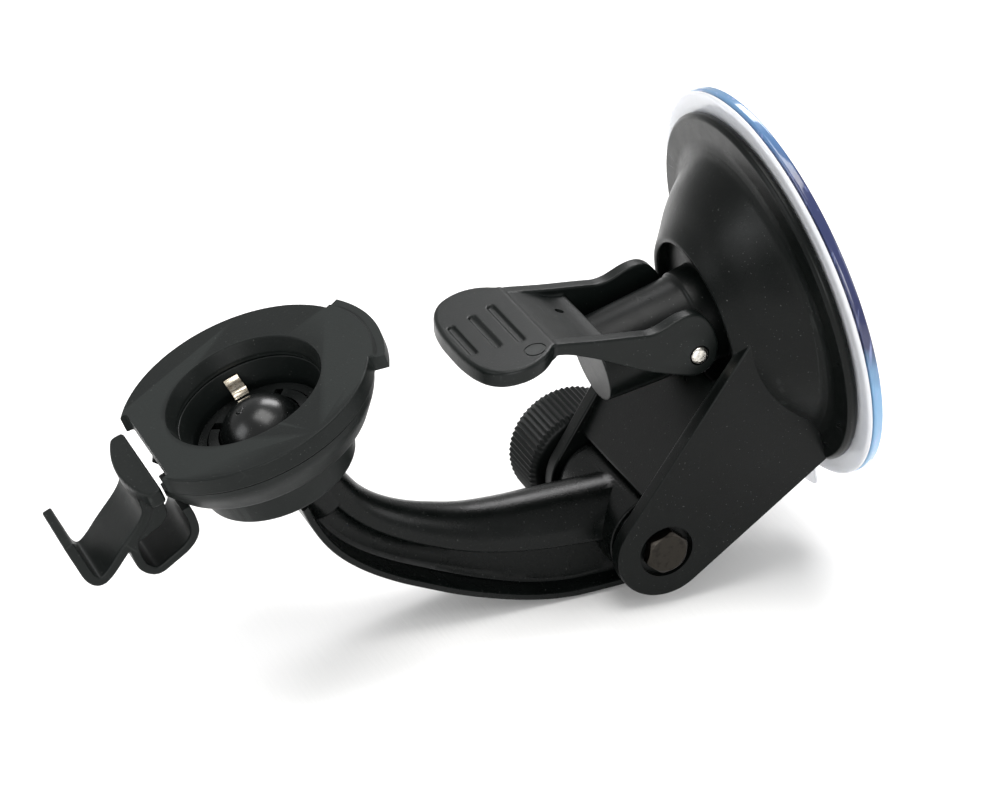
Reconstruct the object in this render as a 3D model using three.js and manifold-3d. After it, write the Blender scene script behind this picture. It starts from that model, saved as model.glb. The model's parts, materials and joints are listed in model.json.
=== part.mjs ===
// Windscreen suction mount for a portable navigator: suction base with a lever-pulled pad, a swing arm
// clamped by a knob, and a round cradle on a ball joint. Millimetres, +Z up, +X towards the pad.
import * as THREE from "three";
import { mergeVertices } from "three/addons/utils/BufferGeometryUtils.js";
import Module from "manifold-3d";

const wasm = await Module();
wasm.setup();
const { Manifold, Mesh: SolidMesh } = wasm;

// ---------------------------------------------------------------- driving dimensions (mm, degrees)
const GAP = 0.3;                              // clearance between neighbouring pieces
const PIVOT = { z: 10.3 };                    // swing-arm pivot, at x = 0
const PAD = { x: 28.0, z: 53.67, tilt: 13.4, faceDepth: 3.3 };
const WELL = { radius: 14.9, floor: 12.6 };   // round well in the dome that takes the lever ears
const BOSS = { rootR: 9.1, tipR: 8.2, end: 37.5, boreR: 6.2, boreEnd: 35.3 };
const PIN = { along: 20.35, radius: 1.75, half: 13.4 };
const STROKE = 4.0;                           // travel of the pull stem when the lever locks
const PLATE = { outer: 17.5, thick: 3.26, endR: 10.0, low: 38, high: 57, splay: 0.043 };
const BOLT = { radius: 2.5, flats: 8.0, headOut: 18.5, seat: 1.6, tip: 29.0 };
const BARREL = { radius: 9.2, half: 11.9 };
const WASHER = { radius: 8.6, bore: 2.85, from: 12.25, to: 13.45 };
const KNOB = { radius: 12.3, from: 18.7, to: 31.2, ribs: 64, ribDepth: 0.45 };
const EAR = { inner: 10.0, outer: 12.9 };
const PADDLE = { end: -37.3, half: 16.5, slope: 11.5, thick: 3.3, shell: 1.7 };
const BALL = { x: -74.0, z: 43.0, radius: 8.5, neckR: 4.3, lean: 55 };
const CRADLE = { tilt: 20.6, faceR: 24.4, face: 11.9, under: 8.3, holeR: 14.1, chamferR: 15.2,
  ringR: 20.5, ringLow: 1.0, collarR: 14.9, rear: -7.4, lipR: 27.2, lipHalf: 26, chord: -19.9 };
const LATCH = { half: 7.0, strip: 1.9, loop: 1.7, crescentR: 27.2, crescentHalf: 11.3, top: 9.4,
  chord: -22.1, notch: 12.0 };

// ---------------------------------------------------------------- small helpers
const rad = (deg) => deg * Math.PI / 180;
const V2 = (x, y) => new THREE.Vector2(x, y);

function solid(geometry) {
  let g = geometry.index ? geometry.toNonIndexed() : geometry.clone();
  for (const key of Object.keys(g.attributes)) if (key !== "position") g.deleteAttribute(key);
  g = mergeVertices(g, 1e-4);
  const index = [];
  const src = g.index.array;
  for (let i = 0; i < src.length; i += 3) {
    const [a, b, c] = [src[i], src[i + 1], src[i + 2]];
    if (a !== b && b !== c && c !== a) index.push(a, b, c);
  }
  return new Manifold(new SolidMesh({ numProp: 3,
    vertProperties: new Float32Array(g.attributes.position.array), triVerts: new Uint32Array(index) }));
}

// Revolved body about local Z; profile is [radius, height] in order round the section.
function turned(profile, segments = 72) {
  const pts = profile.map(([r, h]) => V2(r, h));
  const area = pts.reduce((s, p, i) => {
    const q = pts[(i + 1) % pts.length];
    return s + p.x * q.y - q.x * p.y;
  }, 0);
  if (area < 0) pts.reverse();
  const onAxis = pts.some((p) => p.x < 1e-6);
  if (onAxis) {                               // start and finish on the axis
    while (!(pts[0].x < 1e-6 && pts[pts.length - 1].x < 1e-6)) pts.push(pts.shift());
  } else pts.push(pts[0].clone());
  const g = new THREE.LatheGeometry(pts, segments);
  g.rotateX(Math.PI / 2);
  return solid(g);
}

// Straight prism: outline in (x, y) raised from z0 to z1.
function prism(outline, z0, z1, holes = []) {
  const shape = new THREE.Shape(outline.map(([x, y]) => V2(x, y)));
  for (const h of holes) shape.holes.push(new THREE.Path(h.map(([x, y]) => V2(x, y))));
  const g = new THREE.ExtrudeGeometry(shape, { depth: z1 - z0, bevelEnabled: false, curveSegments: 24 });
  g.translate(0, 0, z0);
  return solid(g);
}

function circle(r, n = 48, cx = 0, cy = 0) {
  return Array.from({ length: n }, (_, i) => {
    const t = 2 * Math.PI * i / n;
    return [cx + r * Math.cos(t), cy + r * Math.sin(t)];
  });
}

function arc(cx, cy, r, from, to, n = 12) {
  return Array.from({ length: n + 1 }, (_, i) => {
    const t = rad(from + (to - from) * i / n);
    return [cx + r * Math.cos(t), cy + r * Math.sin(t)];
  });
}

// Rounded convex or concave polygon: every corner replaced by a short arc-like bend.
function rounded(points, radius, n = 3) {
  const out = [];
  points.forEach((p, i) => {
    const a = points[(i + points.length - 1) % points.length];
    const b = points[(i + 1) % points.length];
    const r = p[2] ?? radius;
    const da = Math.hypot(a[0] - p[0], a[1] - p[1]);
    const db = Math.hypot(b[0] - p[0], b[1] - p[1]);
    const ra = Math.min(r, da * 0.45);
    const rb = Math.min(r, db * 0.45);
    const s = [p[0] + (a[0] - p[0]) / da * ra, p[1] + (a[1] - p[1]) / da * ra];
    const e = [p[0] + (b[0] - p[0]) / db * rb, p[1] + (b[1] - p[1]) / db * rb];
    for (let k = 0; k <= n; k++) {
      const t = k / n;
      out.push([(1 - t) ** 2 * s[0] + 2 * t * (1 - t) * p[0] + t * t * e[0],
        (1 - t) ** 2 * s[1] + 2 * t * (1 - t) * p[1] + t * t * e[1]]);
    }
  });
  return out;
}

// Outline of a strip of constant thickness that follows a smooth line through the points.
function strip(points, thick, n = 40) {
  const curve = new THREE.CatmullRomCurve3(points.map(([x, y]) => new THREE.Vector3(x, y, 0)),
    false, "centripetal");
  const left = [];
  const right = [];
  for (let i = 0; i <= n; i++) {
    const p = curve.getPoint(i / n);
    const t = curve.getTangent(i / n);
    left.push([p.x - t.y * thick / 2, p.y + t.x * thick / 2]);
    right.push([p.x + t.y * thick / 2, p.y - t.x * thick / 2]);
  }
  return left.concat(right.reverse());
}

// Rows of a 4x4 matrix to the column order the solids library takes.
function place(body, xAxis, yAxis, zAxis, origin) {
  return body.transform([...xAxis, 0, ...yAxis, 0, ...zAxis, 0, ...origin, 1]);
}

const ct = Math.cos(rad(PAD.tilt));
const st = Math.sin(rad(PAD.tilt));
const cc = Math.cos(rad(CRADLE.tilt));
const sc = Math.sin(rad(CRADLE.tilt));
// Base frame: x up the pad face, y across, z along the boss away from the glass.
const inBase = (b) => place(b, [-st, 0, ct], [0, 1, 0], [-ct, 0, -st], [PAD.x, 0, PAD.z]);
// Cradle frame: x towards the lip, y across, z out of the face; origin at the ball centre.
const inCradle = (b) => place(b, [cc, 0, sc], [0, 1, 0], [-sc, 0, cc], [BALL.x, 0, BALL.z]);
// Cross frame: outline (x, z) becomes a prism along y.
const alongY = (outline, y0, y1) => place(prism(outline, -y1, -y0), [1, 0, 0], [0, 0, 1], [0, -1, 0],
  [0, 0, 0]);
const cylinderY = (r, y0, y1, x = 0, z = 0, n = 40) => alongY(circle(r, n, x, z), y0, y1);
const union = (...parts) => parts.reduce((a, b) => a.add(b));

// ---------------------------------------------------------------- base housing
const domeOuter = turned([[0, -0.2], [35.7, -0.2], [36.1, 0.2], [36.1, 1.2], [35.4, 1.9], [31.0, 1.95],
  [30.2, 2.1], [29.0, 2.7], [27.8, 3.6], [26.3, 5.4], [24.4, 7.7], [21.9, 10.2],
  [19.0, 12.6], [17.2, 14.3], [16.2, 15.1], [15.6, 15.2], [WELL.radius, 14.3], [WELL.radius, WELL.floor],
  [BOSS.rootR + 0.7, WELL.floor], [BOSS.rootR + 0.5, 17.2], [BOSS.rootR, 17.5],
  [BOSS.tipR, BOSS.end - 0.6], [BOSS.tipR - 0.6, BOSS.end], [0, BOSS.end]], 44);
const domeInner = turned([[0, -1], [24.6, -1], [24.6, 0.8], [23.4, 3.2], [20.6, 6.6], [16.6, 9.6],
  [13.8, 10.4], [BOSS.boreR, 10.4], [BOSS.boreR, BOSS.boreEnd], [0, BOSS.boreEnd]], 32);

const dir = (deg) => [Math.cos(rad(deg)), Math.sin(rad(deg))];
const lowDir = dir(PLATE.low);
const highDir = dir(PLATE.high);
const plateOutline = [
  ...arc(0, PIVOT.z, PLATE.endR, 90 + PLATE.high, 270 + PLATE.low, 24),
  [PLATE.endR * lowDir[1] + lowDir[0] * 42, PIVOT.z - PLATE.endR * lowDir[0] + lowDir[1] * 42],
  [31, 44], [22, 54],
  [-PLATE.endR * highDir[1] + highDir[0] * 44, PIVOT.z + PLATE.endR * highDir[0] + highDir[1] * 44],
];
function sidePlate(sign) {
  const [y0, y1] = sign < 0 ? [-PLATE.outer, -PLATE.outer + PLATE.thick]
    : [PLATE.outer - PLATE.thick, PLATE.outer];
  const flat = alongY(plateOutline, y0, y1);
  const k = sign * PLATE.splay;               // y grows along the plate's middle line
  return flat.transform([1, k * 0.676, 0, 0, 0, 1, 0, 0, 0, k * 0.737, 1, 0, 0, -k * PIVOT.z * 0.737, 0, 1]);
}
const frontWeb = alongY(rounded([[-3.4, 20.4], [-0.9, 19.9], [3.2, 25.4], [14.5, 42.6], [14.3, 43.6],
  [9.9, 43.2]], 0.9), -15.2, 15.2);
const plateTrim = inBase(turned([[0, 0.4], [35.4, 0.4], [35.4, 60], [0, 60]], 44))
  .add(inBase(prism([[-120, -30], [0, -30], [0, 30], [-120, 30]], 1.2, 90)));
const plates = sidePlate(-1).add(sidePlate(1)).intersect(plateTrim);
const wellClear = inBase(turned([[BOSS.rootR + 0.9, WELL.floor + 0.01], [WELL.radius, WELL.floor + 0.01],
  [WELL.radius, 19.6], [BOSS.rootR + 0.9, 19.6]], 44));
const pinSlot = (r) => inBase(alongY([...arc(0, PIN.along, r, -180, 0, 10),
  ...arc(0, PIN.along + STROKE, r, 0, 180, 10)], -12, 12));
const baseHousing = union(inBase(domeOuter), plates, frontWeb)
  .subtract(inBase(domeInner))
  .subtract(wellClear)
  .subtract(pinSlot(PIN.radius + GAP))
  .subtract(cylinderY(BOLT.radius + 0.35, -24, 24, 0, PIVOT.z))
  .subtract(cylinderY(5.5, -24, -PLATE.outer + BOLT.seat, 0, PIVOT.z, 48));

// ---------------------------------------------------------------- pad, seal, stem and spring
const padBody = turned([[0, -1.3], [12.7, -1.3], [12.9, -0.5], [36.9, -0.5], [38.6, -0.32], [39.3, -0.3],
  [39.8, -0.6], [39.8, -0.95], [26.6, -0.95], [26.2, -2.1], [0, -2.1]], 56);
const tabOutline = rounded([[-38, -6], [-45.5, -6], [-47.2, 0], [-45.5, 6], [-38, 6]], 2.2);
const suctionPad = padBody.add(prism(tabOutline, -0.95, -0.45));
const sealingRing = turned([[26.9, -1.25], [39.7, -1.25], [40, -1.5], [40, -3.0], [39.7, -PAD.faceDepth],
  [28.6, -PAD.faceDepth], [27.4, -2.7], [26.9, -1.6]], 56);
const stem = turned([[0, -1.0], [12.2, -1.0], [12.4, -0.7], [12.4, 0.6], [12.1, 0.9], [6.6, 0.9], [5.9, 1.6],
  [5.9, 30.2], [5.5, 30.7], [0, 30.7]], 36)
  .subtract(alongY(circle(PIN.radius + GAP, 28, 0, PIN.along), -8, 8));

class Helix extends THREE.Curve {
  constructor(radius, z0, z1, turns) { super(); Object.assign(this, { radius, z0, z1, turns }); }
  getPoint(t, v = new THREE.Vector3()) {
    const a = 2 * Math.PI * this.turns * t;
    const s = t * t * (3 - 2 * t);
    return v.set(this.radius * Math.cos(a), this.radius * Math.sin(a),
      this.z0 + (this.z1 - this.z0) * (0.35 * t + 0.65 * s));
  }
}
const wire = new THREE.Shape(circle(0.55, 7).map(([x, y]) => V2(x, y)));
const spring = solid(new THREE.ExtrudeGeometry(wire, { steps: 64, bevelEnabled: false,
  extrudePath: new Helix(8.4, 1.85, 9.4, 4) }));

// ---------------------------------------------------------------- clamp lever and its pin
const pinCentre = [PAD.x - PIN.along * ct, PAD.z - PIN.along * st];
const earOutline = rounded([[-24, 57.1, 0.4], [-21.5, 57.6], [-13.4, 56.5], [-5.2, 55.7], [-1.2, 55.2, 4],
  [3.8, 57.6, 2], [6.8, 58.1, 2], [9.2, 57.0, 2], [11.3, 54.0, 3], [12.3, 50.2, 3], [11.7, 46.4, 3],
  [8.0, 44.3, 3], [3.6, 45.6, 2], [-3, 47.8, 3], [-13.4, 52.8, 3], [-19.5, 55.0, 2], [-24, 55.2, 0.4]], 2);
const ears = alongY(earOutline, -EAR.outer, -EAR.inner).add(alongY(earOutline, EAR.inner, EAR.outer));
const slope = Math.tan(rad(PADDLE.slope));
// Half outline of the paddle from the middle of its free end to an ear, mirrored across the lever.
const bothSides = (half) => half.concat(half.slice(1).map(([x, y]) => [x, -y]).reverse());
const paddleOutline = bothSides([[PADDLE.end, 0], [-37.2, 4.5], [-36.6, 9.0], [-35.4, 12.6], [-33.4, 15.1],
  [-30.8, 16.3], [-28.0, PADDLE.half], [-25.4, 15.7], [-23.6, 14.5], [-22.3, 13.3], [-21.4, EAR.outer],
  [-21.4, 9.0]]);
const paddleHollow = bothSides([[-35.6, 0], [-35.4, 4.5], [-34.8, 8.4], [-33.6, 11.6], [-31.8, 13.8],
  [-29.0, 14.7], [-26.4, 14.2], [-23.8, 12.4], [-22.4, 10.2]]);
const tilted = (b) => b.transform([1, 0, slope, 0, 0, 1, 0, 0, 0, 0, 1, 0, 0, 0, 55.1 + slope * 34.8, 1]);
const grooves = [[-34.8, 5.2], [-30.3, 6.0], [-26.0, 7.0]].map(([x, half]) => tilted(
  prism([...arc(x, -half, 0.7, 180, 360, 6), ...arc(x, half, 0.7, 0, 180, 6)], -0.5, 2)));
const gateRing = tilted(prism(circle(2.1, 28, -25.4, -12.0), -0.2, 1, [circle(1.7, 28, -25.4, -12.0)]));
const leverWeb = alongY(rounded([[-24, 57.1, 0.3], [-20.8, 57.6, 3], [-16.4, 56.3, 3], [-12.4, 54.8, 2],
  [-9.4, 54.8, 0.5], [-9.5, 53.8, 0.4], [-12.4, 53.4, 1], [-16, 54.0, 2], [-24, 54.9, 0.3]], 1), -10.3, 10.3);
const lever = union(ears, tilted(prism(paddleOutline, -PADDLE.thick, 0))
  .subtract(tilted(prism(paddleHollow, -PADDLE.thick - 1, -PADDLE.shell))), leverWeb)
  .subtract(union(...grooves))
  .subtract(gateRing)
  .subtract(prism(circle(0.9, 20, -13.6, 3.2), 50, 60))
  .subtract(cylinderY(PIN.radius + GAP, -16, 16, ...pinCentre, 28));
const leverPin = cylinderY(PIN.radius, -PIN.half, PIN.half, ...pinCentre, 28);

// ---------------------------------------------------------------- pivot hardware and knob
const hex = (flats) => arc(0, PIVOT.z, flats / 2 / Math.cos(rad(30)), 20, 320, 5);
const bolt = alongY(hex(BOLT.flats), -BOLT.headOut, -PLATE.outer + BOLT.seat - GAP)
  .intersect(cylinderY(4.45, -30, 0, 0, PIVOT.z, 48))
  .add(cylinderY(BOLT.radius, -PLATE.outer + 0.6, BOLT.tip, 0, PIVOT.z, 32));
const washer = (y0, y1) => cylinderY(WASHER.radius, y0, y1, 0, PIVOT.z, 40)
  .subtract(cylinderY(WASHER.bore, y0 - 1, y1 + 1, 0, PIVOT.z, 32));
const ribbed = Array.from({ length: KNOB.ribs * 2 }, (_, i) => {
  const t = 2 * Math.PI * i / (KNOB.ribs * 2);
  const r = KNOB.radius - (i % 2 ? 0 : KNOB.ribDepth);
  return [r * Math.cos(t), PIVOT.z + r * Math.sin(t)];
});
const aboutPivot = (profile, n = 48) => place(turned(profile, n), [1, 0, 0], [0, 0, -1], [0, 1, 0],
  [0, 0, PIVOT.z]);
const knobShape = aboutPivot([[0, KNOB.from], [KNOB.radius - 1.4, KNOB.from], [KNOB.radius, KNOB.from + 1.1],
  [KNOB.radius, KNOB.to - 1.4], [KNOB.radius - 1.4, KNOB.to], [0, KNOB.to]]);
const nutOutline = (r) => arc(0, PIVOT.z, r, 0, 300, 5);
const knob = alongY(ribbed, KNOB.from, KNOB.to).intersect(knobShape)
  .subtract(cylinderY(BOLT.radius + GAP, KNOB.from - 1, KNOB.to - 1.6, 0, PIVOT.z, 32))
  .subtract(alongY(nutOutline(4.9), KNOB.from - 1, KNOB.from + 5.3))
  .subtract(aboutPivot([[6.6, KNOB.to - 5], [9.4, KNOB.to - 5], [9.4, KNOB.to + 1], [6.6, KNOB.to + 1]], 40));
const knobNut = alongY(nutOutline(4.6), KNOB.from + 0.2, KNOB.from + 5)
  .subtract(cylinderY(BOLT.radius + GAP, KNOB.from - 1, KNOB.to, 0, PIVOT.z, 32));

// ---------------------------------------------------------------- swing arm and ball stud
// Section through the arm in (y, n): rounded crown, narrow web, bottom flange.
function armSection(crown, depth, flange) {
  const half = [];
  for (let i = 0; i <= 6; i++) {
    const t = rad(90 - 15 * i);
    half.push([crown * Math.cos(t), crown * Math.sin(t)]);
  }
  const web = Math.max(crown - 3.4, 2.5);
  half.push([crown, -0.9], [(crown + web) / 2 + 0.2, -1.3], [web + 0.4, -1.9], [web, -depth * 0.42],
    [web + 0.6, -depth * 0.52], [web, -depth * 0.64], [web + 0.4, -depth + 2.3],
    [flange - 1.0, -depth + 1.6], [flange, -depth + 1.3], [flange, -depth + 0.2], [flange - 0.3, -depth]);
  const other = half.slice(1).map(([y, n]) => [-y, n]).reverse();
  return half.concat(other);
}
// Ridge line of the arm with crown radius, depth below the ridge and flange half width.
const armStations = [
  [-64.6, 33.4, 4.2, 6.2, 6.6], [-62.0, 29.7, 4.2, 7.2, 7.5],
  [-58.6, 25.6, 4.2, 7.8, 8.0], [-54.2, 21.9, 4.4, 8.0, 8.3], [-48.6, 18.6, 4.8, 8.2, 8.5],
  [-42.4, 15.9, 5.4, 8.6, 8.5], [-35.6, 13.6, 6.1, 9.4, 8.5], [-28.6, 12.2, 6.8, 10.6, 8.5],
  [-21.6, 11.4, 7.4, 11.8, 8.5], [-14.6, 11.0, 7.8, 12.4, 8.5], [-7.5, 10.7, 8.1, 12.1, 8.5],
  [-2.0, 10.5, 8.4, 11.7, 8.5],
];
function sweepArm() {
  const ridge = new THREE.CatmullRomCurve3(armStations.map(([x, z]) => new THREE.Vector3(x, 0, z)));
  const data = (k) => new THREE.CatmullRomCurve3(armStations.map((s) =>
    new THREE.Vector3(s[2], s[3], s[4]))).getPoint(k);
  const rings = [];
  const steps = 16;
  for (let i = 0; i <= steps; i++) {
    const p = ridge.getPoint(i / steps);
    const t = ridge.getTangent(i / steps);
    const d = data(i / steps);
    rings.push(armSection(d.x, d.y, d.z).map(([y, n]) => [p.x - t.z * n, y, p.z + t.x * n]));
  }
  const count = rings[0].length;
  const pos = rings.flat(2);
  const index = [];
  for (let i = 0; i < steps; i++) {
    for (let j = 0; j < count; j++) {
      const a = i * count + j;
      const b = i * count + (j + 1) % count;
      index.push(a, a + count, b, b, a + count, b + count);
    }
  }
  const flat = armSection(...armStations[0].slice(2)).map(([y, n]) => V2(y, n));
  const last = armSection(...armStations[armStations.length - 1].slice(2)).map(([y, n]) => V2(y, n));
  const end = steps * count;
  for (const [a, b, c] of THREE.ShapeUtils.triangulateShape(flat, [])) index.push(c, b, a);
  for (const [a, b, c] of THREE.ShapeUtils.triangulateShape(last, [])) index.push(end + a, end + b, end + c);
  const build = (idx) => {
    const g = new THREE.BufferGeometry();
    g.setAttribute("position", new THREE.Float32BufferAttribute(pos, 3));
    g.setIndex(idx);
    return solid(g);
  };
  const first = build(index);
  if (first.volume() > 0) return first;
  const flipped = [];
  for (let i = 0; i < index.length; i += 3) flipped.push(index[i], index[i + 2], index[i + 1]);
  return build(flipped);
}
const armAngle = rad(BALL.lean);                // neck direction below horizontal
const stud = (profile, n = 48) => place(turned(profile, n),
  [Math.sin(armAngle), 0, Math.cos(armAngle)], [0, 1, 0], [-Math.cos(armAngle), 0, Math.sin(armAngle)],
  [BALL.x, 0, BALL.z]);
const barrel = cylinderY(BARREL.radius, -BARREL.half, BARREL.half, 0, PIVOT.z, 44);
const spigotHole = stud([[0, -17.6], [2.8, -17.6], [2.8, -9.5], [0, -9.5]], 36);
const armBore = cylinderY(BOLT.radius + 0.35, -20, 20, 0, PIVOT.z, 32);
const armTip = stud([[0, -19.4], [4.6, -19.4], [4.9, -14.6], [4.5, -13.1], [0, -13.1]], 40);
const swingArm = union(sweepArm(), barrel, armTip).subtract(armBore).subtract(spigotHole);
const ballArc = Array.from({ length: 12 }, (_, i) => {
  const t = rad(-59.5 + 149.5 * i / 11);
  return [BALL.radius * Math.cos(t), BALL.radius * Math.sin(t)];
}).map(([r, h]) => [Math.max(r, 0), h]);
ballArc[11] = [0.8, BALL.radius - 0.04];
const ballStud = stud([[0, -17.3], [2.2, -17.3], [2.5, -17.0], [2.5, -12.8], [BALL.neckR, -12.8], ...ballArc,
  [0.8, BALL.radius + 0.25], [0, BALL.radius + 0.3]], 28);

// ---------------------------------------------------------------- ball socket
const sphereArc = (r, fromH, toH, n = 5) => Array.from({ length: n + 1 }, (_, i) => {
  const a = Math.asin(fromH / r);
  const b = Math.asin(toH / r);
  const t = a + (b - a) * i / n;
  return [r * Math.cos(t), r * Math.sin(t)];
});
const linerSlots = union(...[45, 135].map((deg) => place(prism([[-20, -0.9], [20, -0.9], [20, 0.9], [-20, 0.9]],
  -1.8, 8), [Math.cos(rad(deg)), Math.sin(rad(deg)), 0], [-Math.sin(rad(deg)), Math.cos(rad(deg)), 0],
[0, 0, 1], [0, 0, 0])));
const linerR = BALL.radius + GAP;
const liner = turned([...sphereArc(linerR + 1.8, -4.4, 3.4), ...sphereArc(linerR, 3.4, -4.4)], 32)
  .subtract(linerSlots);
const retainer = turned([[9.5, -6.0], [12.2, -6.0], [12.6, -5.6], [12.6, 2.6], [12.2, 3.0],
  ...sphereArc(linerR + 1.8 + GAP, 3.0, -5.35), [9.5, -5.6]], 32);

// ---------------------------------------------------------------- cradle
const C = CRADLE;
const screwAngles = [45, 135, 225, 315];
const screwAt = (deg) => [17.1 * Math.cos(rad(deg)), 17.1 * Math.sin(rad(deg))];
const screwHoles = (r, z0, z1) => union(...screwAngles.map((d) => prism(circle(r, 14, ...screwAt(d)), z0, z1)));
const housingBody = turned([[10.6, C.rear], [C.collarR - 0.4, C.rear], [C.collarR, C.rear + 0.4],
  [C.collarR + 1.4, C.ringLow], [C.ringR - 0.5, C.ringLow], [C.ringR, C.ringLow + 0.4], [23.5, 6.0],
  [23.9, C.under - GAP], [C.ringR - 1.8, C.under - GAP], [C.ringR - 1.8, 2.8], [15.6, 2.8], [15.6, C.under - GAP],
  [C.holeR - 0.1, C.under - GAP], [12.9, 4.0], [12.9, -6.3], [10.6, -6.3]], 44);
const notch = (x, half, z0) => prism([[x, -half], [-30, -half], [-30, half], [x, half]], z0, 20);
const latchNotch = notch(C.chord, LATCH.notch, 4.9);
const crescentRoom = notch(LATCH.chord + 0.5, LATCH.notch, 4.9);
const latchWay = notch(-17.3, LATCH.half + 0.6, 0);
const farRelief = prism([[-18.6, LATCH.half], [-30, LATCH.half], [-30, 17], [-18.6, 17]], 2.8, 20);
const cradleHousing = housingBody.subtract(screwHoles(1.2, 0, 4))
  .subtract(screwHoles(2.2, 0, C.ringLow + 0.7)).subtract(crescentRoom).subtract(latchWay).subtract(farRelief);
const sector = (r, half) => [[0, 0], ...arc(0, 0, r, -half, half, 20)];
const plateDisc = turned([[C.holeR, C.under], [C.faceR - 0.4, C.under], [C.faceR, C.under + 0.4],
  [C.faceR, C.face - 0.5], [C.faceR - 0.5, C.face], [C.chamferR, C.face], [C.holeR, 9.0]], 60);
const lip = prism(sector(C.lipR, C.lipHalf), C.under, C.face)
  .subtract(prism(circle(20, 64), C.under - 1, C.face + 1))
  .subtract(turned([[25.7, C.face - 0.55], [40, C.face - 0.55], [40, C.face + 1], [25.2, C.face + 1],
    [25.2, C.face - 0.02]], 80));
const cradlePlate = plateDisc.add(lip).subtract(latchNotch).subtract(screwHoles(1.2, C.under - 1, 10.3));
const screw = (deg) => prism(circle(1.9, 18, ...screwAt(deg)), 0.35, C.ringLow + 0.45)
  .add(prism(circle(0.9, 12, ...screwAt(deg)), C.ringLow + 0.4, 10.0))
  .subtract(prism(rounded([[-1.1, -0.25], [-0.25, -0.25], [-0.25, -1.1], [0.25, -1.1], [0.25, -0.25],
    [1.1, -0.25], [1.1, 0.25], [0.25, 0.25], [0.25, 1.1], [-0.25, 1.1], [-0.25, 0.25], [-1.1, 0.25]], 0.05, 1)
    .map(([x, y]) => [x + screwAt(deg)[0], y + screwAt(deg)[1]]), 0, 0.9));
const leafStrip = strip([[12.6, 7.1], [11.4, 6.7], [9.4, 6.6], [8.3, 6.5], [7.8, 5.6]], 0.4, 20);
const contactLeaf = place(prism(leafStrip, -1.5, 1.5), [0, 1, 0], [0, 0, 1], [1, 0, 0], [0.3, 0, 0]);

// ---------------------------------------------------------------- sprung latch
const acrossCradle = (outline, half) => alongY(outline, -half, half);
const latchWall = acrossCradle(strip([[-25.4, 8.7], [-25.5, 6.5], [-25.9, 3.6], [-28.2, 1.2], [-33.0, -1.7],
  [-37.0, -4.2], [-39.2, -4.7], [-40.5, -3.0], [-40.9, 1.0], [-41.2, 5.6]], LATCH.strip, 36), LATCH.half);
const latchLoop = acrossCradle(strip([[-30.6, -0.6], [-31.2, -3.6], [-31.0, -6.8], [-29.0, -8.9],
  [-25.6, -8.4], [-22.0, -7.4], [-19.9, -5.6], [-19.3, -2.8], [-19.4, 0.1]], LATCH.loop, 30), LATCH.half);
const crescentEnd = Math.asin(LATCH.crescentHalf / LATCH.crescentR) / rad(1);
const crescent = prism(rounded([[LATCH.chord, -LATCH.crescentHalf, 1],
  ...arc(0, 0, LATCH.crescentR, 180 + crescentEnd, 180 - crescentEnd, 10).map(([x, y]) => [x, y, 0.8]),
  [LATCH.chord, LATCH.crescentHalf, 1]], 1, 2), LATCH.top - 3.1, LATCH.top);
const latchRib = acrossCradle([[-25.4, 6.0], [-23.2, 5.0], [-22.4, 3.2], [-22.7, 0.6], [-24.6, -0.8],
  [-30.2, -1.8], [-30.6, -0.6], [-28.2, 1.2], [-25.9, 3.6]], LATCH.half - 0.4);
const latch = union(latchWall, latchLoop, latchRib, crescent);

// ---------------------------------------------------------------- materials and assembly
const paint = (color, roughness, metalness) => new THREE.MeshStandardMaterial({ color, roughness, metalness });
const black = paint(0x181b1a, 0.5, 0);
const acetal = paint(0x101211, 0.35, 0);
const clear = paint(0xe6eaee, 0.25, 0);
const blue = paint(0x7fa6cf, 0.3, 0);
const steel = paint(0xb9b7b0, 0.3, 1);
const zinc = paint(0x2c2b28, 0.4, 1);
const nickel = paint(0xc9c3b4, 0.3, 1);
const brass = paint(0xb08d3e, 0.35, 1);

const mount = new THREE.Group();
mount.name = "windscreen_mount";
function add(name, body, material) {
  const m = body.getMesh();
  const g = new THREE.BufferGeometry();
  g.setAttribute("position", new THREE.Float32BufferAttribute(Array.from(m.vertProperties), 3));
  g.setIndex(Array.from(m.triVerts));
  g.computeVertexNormals();
  const mesh = new THREE.Mesh(g, material);
  mesh.name = name;
  mount.add(mesh);
}
add("base_housing", baseHousing, black);
add("suction_pad", inBase(suctionPad), clear);
add("sealing_ring", inBase(sealingRing), blue);
add("pull_stem", inBase(stem), acetal);
add("release_spring", inBase(spring), steel);
add("clamp_lever", lever, black);
add("lever_pin", leverPin, steel);
add("pivot_bolt", bolt, zinc);
add("washer_near", washer(-WASHER.to, -WASHER.from), acetal);
add("washer_far", washer(WASHER.from, WASHER.to), acetal);
add("clamp_knob", knob, black);
add("knob_nut", knobNut, brass);
add("swing_arm", swingArm, black);
add("ball_stud", ballStud, acetal);
add("socket_liner", inCradle(liner), acetal);
add("socket_retainer", inCradle(retainer), acetal);
add("cradle_housing", inCradle(cradleHousing), black);
add("cradle_plate", inCradle(cradlePlate), black);
add("contact_leaf", inCradle(contactLeaf), nickel);
add("release_latch", inCradle(latch), black);
screwAngles.forEach((deg, i) => add(`cradle_screw_${i + 1}`, inCradle(screw(deg)), zinc));

// Origin at the middle of the underside of the whole mount.
const box = new THREE.Box3().setFromObject(mount);
const centre = box.getCenter(new THREE.Vector3());
for (const mesh of mount.children) mesh.geometry.translate(-centre.x, -centre.y, -box.min.z);

export default mount;
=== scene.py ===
"""Looks of a windscreen suction mount for a portable navigator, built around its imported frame."""

import json
import math

import bmesh
import bpy
from mathutils import Matrix, Vector


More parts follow.
